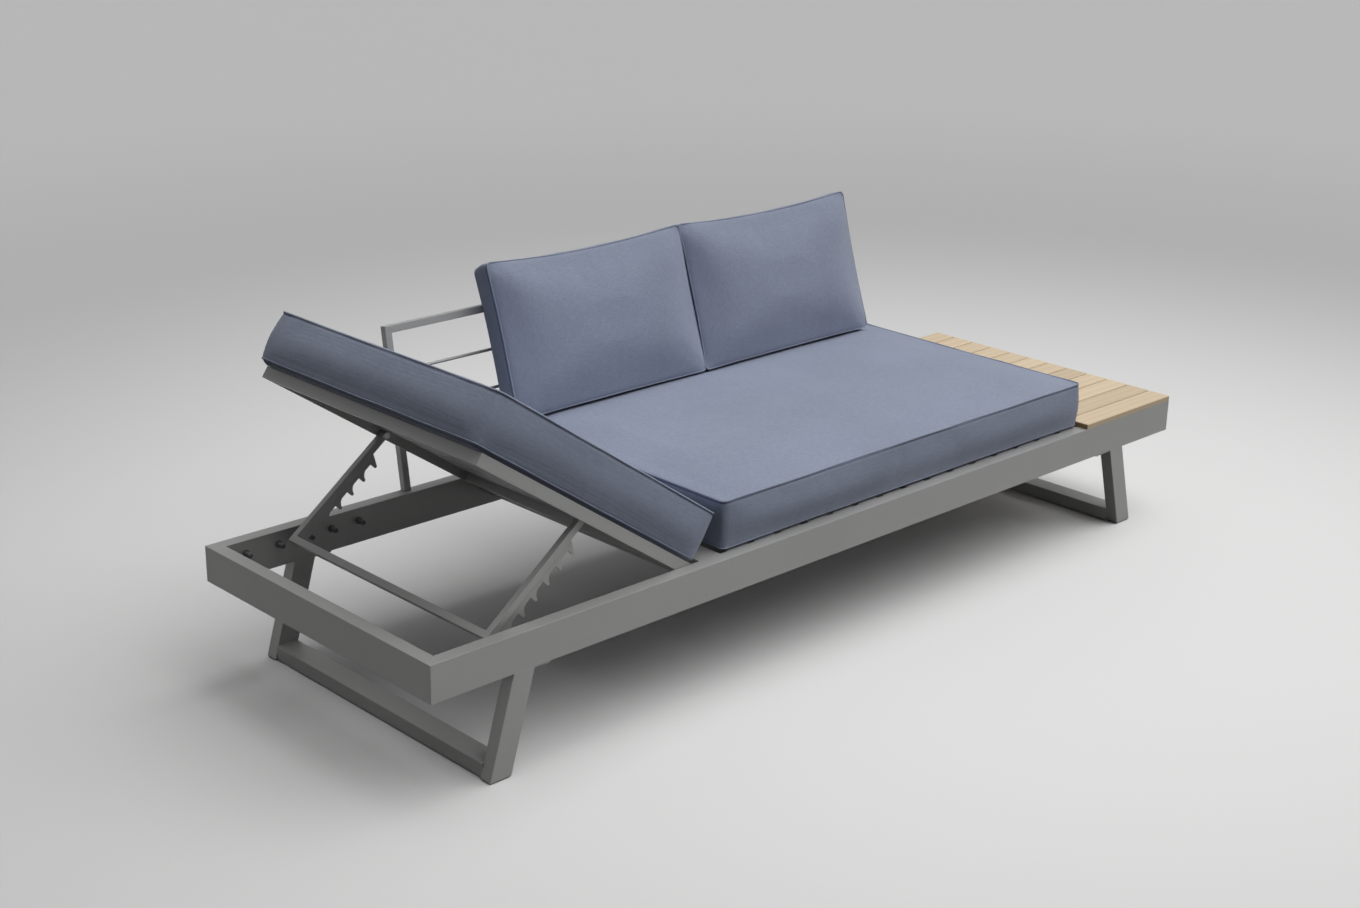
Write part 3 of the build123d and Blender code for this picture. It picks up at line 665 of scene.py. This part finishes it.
class Nodes:
    """A node tree being built, with short ways to add and join nodes."""

    def __init__(self, tree):
        self.nodes, self.links = tree.nodes, tree.links

    def add(self, kind, **values):
        node = self.nodes.new(kind)
        for name, value in values.items():
            setattr(node, name, value)
        return node

    def feed(self, node, name, source):
        """Sets an input to a number or colour, or joins it to another node's output."""
        socket = node.inputs[name]
        if isinstance(source, bpy.types.NodeSocket):
            self.links.new(source, socket)
        else:
            socket.default_value = source

    def math(self, kind, first, second=0.0):
        node = self.add("ShaderNodeMath", operation=kind)
        self.feed(node, 0, first)
        self.feed(node, 1, second)
        return node.outputs[0]

    def seen(self):
        """1 for rays from the camera and through reflections and glass, 0 for all others."""
        rays = self.add("ShaderNodeLightPath").outputs
        through = self.math("MAXIMUM", rays["Is Glossy Ray"], rays["Is Transmission Ray"])
        return self.math("MAXIMUM", rays["Is Camera Ray"], through)


class Finish(Nodes):
    """A material being built: its nodes, its shader and short ways to make textures."""

    def __init__(self, name):
        self.material = bpy.data.materials.new(name)
        self.material.use_nodes = True
        super().__init__(self.material.node_tree)
        self.shader = self.nodes["Principled BSDF"]
        self.place = self.add("ShaderNodeTexCoord").outputs["Object"]

    def mapping(self, place=None, scale=(1, 1, 1), turn=(0, 0, 0), move=(0, 0, 0)):
        node = self.add("ShaderNodeMapping")
        self.feed(node, "Vector", place or self.place)
        self.feed(node, "Scale", scale)
        self.feed(node, "Rotation", turn)
        self.feed(node, "Location", move)
        return node.outputs["Vector"]

    def noise(self, place, scale, detail=2, roughness=0.5):
        node = self.add("ShaderNodeTexNoise")
        self.feed(node, "Vector", place)
        self.feed(node, "Scale", scale)
        self.feed(node, "Detail", detail)
        self.feed(node, "Roughness", roughness)
        return node.outputs["Fac"]

    def wave(self, place, direction, scale, distortion=0, detail=0, detail_scale=1):
        node = self.add("ShaderNodeTexWave", bands_direction=direction)
        self.feed(node, "Vector", place)
        self.feed(node, "Scale", scale)
        self.feed(node, "Distortion", distortion)
        self.feed(node, "Detail", detail)
        self.feed(node, "Detail Scale", detail_scale)
        return node.outputs["Fac"]

    def spread(self, value, low, high, to_low=0.0, to_high=1.0):
        """Carries a value from one range to another."""
        node = self.add("ShaderNodeMapRange")
        self.feed(node, "Value", value)
        self.feed(node, "From Min", low)
        self.feed(node, "From Max", high)
        self.feed(node, "To Min", to_low)
        self.feed(node, "To Max", to_high)
        return node.outputs["Result"]

    def mix(self, share, first, second):
        """Mixes two colours."""
        node = self.add("ShaderNodeMix", data_type="RGBA")
        self.feed(node, 0, share)
        for socket, source in ((6, first), (7, second)):
            joined = isinstance(source, bpy.types.NodeSocket)
            self.feed(node, socket, source if joined else tuple(source) + (1,))
        return node.outputs[2]

    def bump(self, height, distance, strength=1.0, normal=None):
        node = self.add("ShaderNodeBump")
        self.feed(node, "Height", height)
        self.feed(node, "Distance", distance)
        self.feed(node, "Strength", strength)
        if normal:
            self.feed(node, "Normal", normal)
        return node.outputs["Normal"]

    def soft_edges(self, radius):
        """Normal with rounded edges, and how strongly each spot is an edge."""
        bevel = self.add("ShaderNodeBevel", samples=4)
        self.feed(bevel, "Radius", radius)
        flat = self.add("ShaderNodeNewGeometry").outputs["True Normal"]
        agree = self.add("ShaderNodeVectorMath", operation="DOT_PRODUCT")
        self.feed(agree, 0, bevel.outputs["Normal"])
        self.feed(agree, 1, flat)
        edge = self.spread(agree.outputs["Value"], 1.0, 0.86)
        return bevel.outputs["Normal"], edge

    def look(self, color, roughness, normal, **constants):
        """Feeds the shader; what is the same all over goes on its own sockets."""
        self.feed(self.shader, "Base Color", color)
        self.feed(self.shader, "Roughness", roughness)
        self.feed(self.shader, "Normal", normal)
        for name, value in constants.items():
            self.feed(self.shader, name.replace("_", " "), value)
        return self.material


def seam_marks(finish, local, levels):
    """How strong the painted shade of the crease and how clear the stitches are at each spot below a cushion's
    seams.
    """
    piping = bpy.context.scene.lounger_piping
    axes = finish.add("ShaderNodeSeparateXYZ")
    finish.feed(axes, 0, local)
    run = finish.math("FRACT", finish.math("DIVIDE", finish.math("ADD", axes.outputs["X"], axes.outputs["Y"]),
                                           piping.stitch))
    thread = finish.spread(run, *STITCH_ENDS)
    crease_shade, stitches = 0.0, 0.0
    for level in levels:
        # Painted shade: a dark band just below each seam, where the crease lies in shade.
        off = finish.math("ABSOLUTE", finish.math("SUBTRACT", axes.outputs["Z"], level - piping.crease_shade_drop))
        crease_shade = finish.math("MAXIMUM", finish.spread(off, piping.crease_shade, piping.crease_shade / 4), crease_shade)
        off = finish.math("ABSOLUTE", finish.math("SUBTRACT", axes.outputs["Z"], level - piping.stitch_drop))
        row = finish.math("MULTIPLY", finish.spread(off, *STITCH_HALF), thread)
        stitches = finish.math("MAXIMUM", row, stitches)
    return crease_shade, stitches


def woven_fabric(name, place, levels):
    """Plain weave of mixed light and dark threads, square to its cushion, with painted shade in the creases
    below its seams.
    """
    look = bpy.context.scene.lounger_fabric
    finish = Finish(name)
    inverse = place.inverted()
    square = finish.mapping(turn=inverse.to_euler(), move=inverse.to_translation())
    crease_shade, stitches = seam_marks(finish, square, levels)
    period = 2 * math.pi / (WAVE_PHASE * look.thread)
    threads = [finish.wave(square, axis, period, 0.4, 1) for axis in "XYZ"]
    weave = finish.math("ADD", finish.math("ADD", threads[0], threads[1]), threads[2])
    warp = finish.noise(finish.mapping(square, scale=(60, 900, 900)), 1, 2)
    weft = finish.noise(finish.mapping(square, scale=(900, 60, 900)), 1, 2)
    slubs = finish.math("ADD", warp, weft)
    speckle = finish.noise(square, 420, 3, 0.7)
    cloud = finish.noise(square, 5, 3)
    mixed = finish.math("ADD", finish.spread(slubs, 0.7, 1.3, 0, 0.6),
                        finish.spread(speckle, 0.3, 0.7, 0, 0.4))
    color = finish.mix(mixed, look.dark, look.light)
    color = finish.mix(finish.math("MULTIPLY", stitches, STITCH_SHARE), color, look.light)
    # Painted shade: the crease colour mixed in along the creases below the pipings.
    color = finish.mix(finish.math("MULTIPLY", crease_shade, CREASE_SHADE_SHARE), color, look.crease_shade)
    tone = finish.add("ShaderNodeHueSaturation")
    finish.feed(tone, "Color", color)
    finish.feed(tone, "Value", finish.spread(cloud, 0.3, 0.7, 0.95, 1.05))
    roughness = finish.spread(speckle, 0.3, 0.7, 0.80, 0.95)
    normal = finish.bump(weave, 0.00012, 0.6)
    normal = finish.bump(finish.math("SUBTRACT", stitches, crease_shade), 0.0006, 0.5, normal)
    normal = finish.bump(cloud, 0.004, 0.12, normal)
    return finish.look(tone.outputs["Color"], roughness, normal, Sheen_Weight=look.sheen,
                       Sheen_Roughness=0.5, Specular_IOR_Level=0.1)


def powder_coat():
    """Satin powder coat with a fine orange-peel skin, paler along the edges: worn coat, and a painted edge
    highlight.
    """
    look = bpy.context.scene.lounger_metal
    finish = Finish("powder_coat")
    rounded, edge = finish.soft_edges(look.edge)
    drift = finish.noise(finish.place, 2.5, 3)
    grain = finish.noise(finish.place, 900, 2, 0.6)
    scuffs = finish.noise(finish.mapping(scale=(14, 14, 40)), 3, 4, 0.6)
    # Paler edges: partly worn coat, partly a painted highlight along every edge.
    wear_and_highlight = finish.math("MULTIPLY", edge, finish.spread(scuffs, 0.42, 0.62, 0.15, 0.6))
    color = finish.mix(wear_and_highlight, look.coat, look.worn_and_lit)
    tone = finish.add("ShaderNodeHueSaturation")
    finish.feed(tone, "Color", color)
    finish.feed(tone, "Value", finish.spread(finish.math("ADD", drift, finish.math("MULTIPLY", grain, 0.35)),
                                             0.45, 0.90, 0.94, 1.06))
    roughness = finish.spread(drift, 0.3, 0.7, 0.40, 0.52)
    normal = finish.bump(grain, 0.00015, 0.35, rounded)
    return finish.look(tone.outputs["Color"], roughness, normal, Metallic=0.26, Specular_IOR_Level=0.5)


def moulded_nylon(name, base):
    """Nylon with a fine spark-eroded skin, paler along its edges."""
    finish = Finish(name)
    rounded, edge = finish.soft_edges(NYLON_EDGE)
    skin = finish.noise(finish.place, 1400, 3, 0.7)
    marks = finish.noise(finish.place, 60, 3)
    paler = [value + PALER for value in base]
    color = finish.mix(finish.math("MULTIPLY", edge, 0.5), base, paler)
    color = finish.mix(finish.spread(marks, 0.4, 0.75, 0, 0.25), color, paler)
    roughness = finish.spread(skin, 0.3, 0.7, 0.45, 0.62)
    return finish.look(color, roughness, finish.bump(skin, 0.0001, 0.4, rounded), Specular_IOR_Level=0.45)


def fastener_steel():
    """Turned steel with fine tool lines."""
    look = bpy.context.scene.lounger_metal
    finish = Finish("fastener_steel")
    rounded, _ = finish.soft_edges(STEEL_EDGE)
    lines = finish.noise(finish.mapping(scale=(30, 1600, 30)), 1, 2)
    spots = finish.noise(finish.place, 220, 3)
    color = finish.mix(finish.spread(spots, 0.45, 0.7, 0, 0.4), look.steel, (0.33, 0.32, 0.31))
    roughness = finish.spread(lines, 0.3, 0.7, 0.24, 0.42)
    return finish.look(color, roughness, finish.bump(lines, 0.00008, 0.4, rounded), Metallic=1.0)


def table_wood():
    """Sanded slats with their own grain each, softened edges and darker sawn ends."""
    look = bpy.context.scene.lounger_wood
    finish = Finish("table_wood")
    low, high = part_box("table_slats")
    pitch = (high.y - low.y + look.gap) / look.slats
    axes = finish.add("ShaderNodeSeparateXYZ")
    finish.feed(axes, 0, finish.place)
    over = finish.math("SUBTRACT", axes.outputs["Y"], low.y)
    number = finish.math("FLOOR", finish.math("DIVIDE", over, pitch))
    chance = finish.add("ShaderNodeTexWhiteNoise", noise_dimensions="1D")
    finish.feed(chance, "W", number)
    own = finish.add("ShaderNodeVectorMath", operation="MULTIPLY_ADD")
    finish.feed(own, 0, chance.outputs["Color"])
    finish.feed(own, 1, SLAT_SHIFT)
    finish.feed(own, 2, finish.place)
    place = own.outputs["Vector"]
    rings = finish.wave(finish.mapping(place, scale=(0.9, 12, 9)), "Y", 1.1, 5.5, 3, 0.8)
    fibre = finish.noise(finish.mapping(place, scale=(9, 420, 420)), 1, 4, 0.65)
    pores = finish.noise(finish.mapping(place, scale=(45, 1300, 1300)), 1, 2, 0.6)
    grain = finish.math("ADD", finish.math("MULTIPLY", rings, RING_SHARE),
                        finish.math("MULTIPLY", fibre, 1 - RING_SHARE))
    color = finish.mix(finish.spread(grain, 0.30, 0.85, 0, 0.60), look.light, look.dark)
    color = finish.mix(finish.spread(pores, 0.60, 0.72, 0, 0.35), color, look.dark)
    tone = finish.add("ShaderNodeHueSaturation")
    finish.feed(tone, "Color", color)
    finish.feed(tone, "Value", finish.spread(chance.outputs["Value"], 0, 1, 0.90, 1.08))
    facing = finish.add("ShaderNodeSeparateXYZ")
    finish.feed(facing, 0, finish.add("ShaderNodeNewGeometry").outputs["True Normal"])
    sawn = finish.spread(finish.math("ABSOLUTE", facing.outputs["X"]), 0.7, 0.9)
    color = finish.mix(sawn, tone.outputs["Color"], look.end_grain)
    rounded, edge = finish.soft_edges(WOOD_EDGE)
    color = finish.mix(finish.math("MULTIPLY", edge, 0.30), color, look.light)
    roughness = finish.spread(fibre, 0.3, 0.7, 0.50, 0.68)
    normal = finish.bump(fibre, 0.0003, 0.35, rounded)
    return finish.look(color, roughness, finish.bump(pores, 0.0001, 0.3, normal), Specular_IOR_Level=0.35)


def give(nodes, material):
    """Gives carried-over CAD nodes one material."""
    for node in nodes:
        mesh = frame["nodes"][node].data
        mesh.materials.clear()
        mesh.materials.append(material)


# One operator for each piece or group of like pieces

class LOUNGER_OT_seat_cushion(bpy.types.Operator):
    """Stuffs the seat cushion and pipes its seams"""
    bl_idname = "lounger.seat_cushion"
    bl_label = "Seat Cushion"

    def execute(self, context):
        sizes, piping = context.scene.lounger_cushions, context.scene.lounger_piping
        cushion_of("seat_cushion", "frame", seat_place(), sizes.thickness, sizes.seat_mesh,
                   piping.lower_level, piping.radius, 3.1, flat_end=-1)
        return {"FINISHED"}


class LOUNGER_OT_head_cushion(bpy.types.Operator):
    """Stuffs the cushion of the tilting head section and pipes its seams"""
    bl_idname = "lounger.head_cushion"
    bl_label = "Head Cushion"

    def execute(self, context):
        sizes, piping = context.scene.lounger_cushions, context.scene.lounger_piping
        cushion_of("head_cushion", "head_section", head_place(), sizes.thickness, sizes.head_mesh,
                   piping.lower_level, piping.radius, 7.7, flat_end=1)
        return {"FINISHED"}


class LOUNGER_OT_back_cushions(bpy.types.Operator):
    """Stuffs the two back cushions and pipes their seams"""
    bl_idname = "lounger.back_cushions"
    bl_label = "Back Cushions"

    def execute(self, context):
        sizes, piping = context.scene.lounger_cushions, context.scene.lounger_piping
        for node, seed in (("back_cushion_left", 1.3), ("back_cushion_right", 5.9)):
            cushion_of(node, "frame", back_place(node, sizes), sizes.back_thickness, sizes.back_mesh,
                       piping.back_lower_level, piping.back_radius, seed)
        return {"FINISHED"}


class LOUNGER_OT_frame_finish(bpy.types.Operator):
    """Powder coats the aluminium tubes and plates"""
    bl_idname = "lounger.frame_finish"
    bl_label = "Frame Finish"

    def execute(self, context):
        give(PAINTED, powder_coat())
        return {"FINISHED"}


class LOUNGER_OT_fittings_finish(bpy.types.Operator):
    """Finishes the moulded parts and the bolts and screws"""
    bl_idname = "lounger.fittings_finish"
    bl_label = "Fittings Finish"

    def execute(self, context):
        look = context.scene.lounger_metal
        give(MOULDED, moulded_nylon("moulded_nylon", look.moulded))
        give(PEGS, moulded_nylon("peg_nylon", look.pegs))
        give(STEEL, fastener_steel())
        return {"FINISHED"}


class LOUNGER_OT_table_finish(bpy.types.Operator):
    """Finishes the wooden table slats"""
    bl_idname = "lounger.table_finish"
    bl_label = "Table Finish"

    def execute(self, context):
        give(["table_slats"], table_wood())
        return {"FINISHED"}


class LOUNGER_OT_studio(bpy.types.Operator):
    """Sets up the floor, the background, the lights and the camera"""
    bl_idname = "lounger.studio"
    bl_label = "Studio"

    def execute(self, context):
        settings = context.scene.lounger_studio
        studio_floor(settings)
        studio_light(settings)
        studio_world(settings)
        studio_camera(settings)
        return {"FINISHED"}


def studio_floor(settings):
    """A wide floor with a painted pool of light: palest round the lounger, darker away from it, and then
    turning into the backdrop.
    """
    bpy.ops.object.select_all(action="DESELECT")
    bpy.ops.mesh.primitive_circle_add(vertices=96, radius=settings.floor_size, fill_type="NGON")
    floor = bpy.context.object
    floor.name = "studio_floor"
    finish = Finish("studio_floor")
    reach = finish.add("ShaderNodeVectorMath", operation="LENGTH")
    finish.feed(reach, 0, finish.mapping(move=-Vector(FLOOR_POOL_CENTRE)))
    color = settings.floor_pool
    # Painted light: the colour fades from the pale pool round the lounger to the darker floor beyond.
    for (start, end), later in ((FLOOR_POOL_REACH, settings.floor_middle),
                                (FLOOR_FAR_REACH, settings.floor_far)):
        far = finish.add("ShaderNodeMapRange", interpolation_type="SMOOTHSTEP")
        finish.feed(far, "Value", reach.outputs["Value"])
        finish.feed(far, "From Min", start)
        finish.feed(far, "From Max", end)
        color = finish.mix(far.outputs["Result"], color, later)
    dim = finish.mix(settings.floor_dim, (0, 0, 0), color)
    color = finish.mix(finish.seen(), dim, color)
    roughness = finish.spread(finish.noise(finish.place, 3, 2), 0, 1, 0.75, 0.85)
    normal = finish.bump(finish.noise(finish.place, 300, 2), 0.0001, 0.1)
    floor.data.materials.append(finish.look(color, roughness, normal, Specular_IOR_Level=0.2))


def studio_lamp(name, kind, place, strength):
    """A lamp that shines from its place towards the lounger."""
    lamp = bpy.data.lights.new(name, kind)
    lamp.energy = strength
    lit = bpy.data.objects.new(name, lamp)
    lit.location = place
    aim = Vector(LIT_POINT) - Vector(place)
    lit.rotation_euler = aim.to_track_quat("-Z", "Y").to_euler()
    bpy.context.scene.collection.objects.link(lit)
    return lamp


def studio_light(settings):
    """One wide soft light high above, to the table's side, and a small one at the front right."""
    key = studio_lamp("key_light", "SUN", settings.key_place, settings.key_strength)
    key.angle = settings.key_spread
    fill = studio_lamp("fill_light", "AREA", settings.fill_place, settings.fill_power)
    fill.size = settings.fill_size


def studio_world(settings):
    """Light from all round, most from behind, and a plain background for the camera and reflections."""
    world = bpy.data.worlds.new("studio_world")
    world.use_nodes = True
    bpy.context.scene.world = world
    tree = Nodes(world.node_tree)
    behind = tree.add("ShaderNodeVectorMath", operation="DOT_PRODUCT")
    tree.feed(behind, 0, tree.add("ShaderNodeTexCoord").outputs["Generated"])
    tree.feed(behind, 1, settings.ambient_side)
    leaning = tree.math("MULTIPLY", behind.outputs["Value"], settings.ambient * settings.ambient_lean)
    light = tree.nodes["Background"]
    tree.feed(light, "Color", (1, 1, 1, 1))
    tree.feed(light, "Strength", tree.math("ADD", leaning, settings.ambient))
    backdrop = tree.add("ShaderNodeBackground")
    tree.feed(backdrop, "Color", tuple(settings.floor_far) + (1,))
    choose = tree.add("ShaderNodeMixShader")
    tree.feed(choose, 0, tree.seen())
    tree.feed(choose, 1, light.outputs[0])
    tree.feed(choose, 2, backdrop.outputs[0])
    tree.feed(tree.nodes["World Output"], "Surface", choose.outputs[0])


def studio_camera(settings):
    """The photograph's viewpoint."""
    heading, tilt, roll = settings.camera_turn
    ahead = Vector((math.sin(heading) * math.cos(tilt), math.cos(heading) * math.cos(tilt), -math.sin(tilt)))
    side = ahead.cross(Vector((0, 0, 1))).normalized()
    above = side.cross(ahead)
    right = side * math.cos(roll) + above * math.sin(roll)
    up = above * math.cos(roll) - side * math.sin(roll)
    turn = Matrix((right, up, -ahead)).transposed()
    lens = bpy.data.cameras.new("photo_camera")
    lens.sensor_width = 36
    lens.lens = settings.lens
    lens.clip_start = 0.05
    lens.clip_end = 200
    camera = bpy.data.objects.new("photo_camera", lens)
    camera.matrix_world = Matrix.Translation(Vector(settings.camera_place)) @ turn.to_4x4()
    bpy.context.scene.collection.objects.link(camera)
    bpy.context.scene.camera = camera
    bpy.context.scene.view_settings.view_transform = "Standard"


class LOUNGER_PT_panel(bpy.types.Panel):
    """Lists the pieces of the lounger and their sizes"""
    bl_idname = "LOUNGER_PT_panel"
    bl_label = "Sun Lounger"
    bl_space_type = "VIEW_3D"
    bl_region_type = "UI"
    bl_category = "Lounger"

    def draw(self, context):
        for group in GROUPS:
            settings = getattr(context.scene, group)
            box = self.layout.box()
            for name in settings.__annotations__:
                box.prop(settings, name)
        for operator in OPERATORS:
            self.layout.operator(operator.bl_idname)


GROUPS = {
    "lounger_cushions": CushionSizes,
    "lounger_piping": PipingSizes,
    "lounger_fabric": FabricFinish,
    "lounger_metal": MetalFinish,
    "lounger_wood": WoodFinish,
    "lounger_studio": StudioSettings,
}
OPERATORS = [LOUNGER_OT_seat_cushion, LOUNGER_OT_head_cushion, LOUNGER_OT_back_cushions,
             LOUNGER_OT_frame_finish, LOUNGER_OT_fittings_finish, LOUNGER_OT_table_finish,
             LOUNGER_OT_studio]


def register():
    for group, kind in GROUPS.items():
        bpy.utils.register_class(kind)
        setattr(bpy.types.Scene, group, PointerProperty(type=kind))
    for operator in OPERATORS:
        bpy.utils.register_class(operator)
    bpy.utils.register_class(LOUNGER_PT_panel)


def unregister():
    bpy.utils.unregister_class(LOUNGER_PT_panel)
    for operator in reversed(OPERATORS):
        bpy.utils.unregister_class(operator)
    for group, kind in reversed(GROUPS.items()):
        delattr(bpy.types.Scene, group)
        bpy.utils.unregister_class(kind)


def main():
    register()
    bpy.ops.lounger.seat_cushion()
    bpy.ops.lounger.head_cushion()
    bpy.ops.lounger.back_cushions()
    bpy.ops.lounger.frame_finish()
    bpy.ops.lounger.fittings_finish()
    bpy.ops.lounger.table_finish()
    bpy.ops.lounger.studio()


if __name__ == "__main__":
    main()
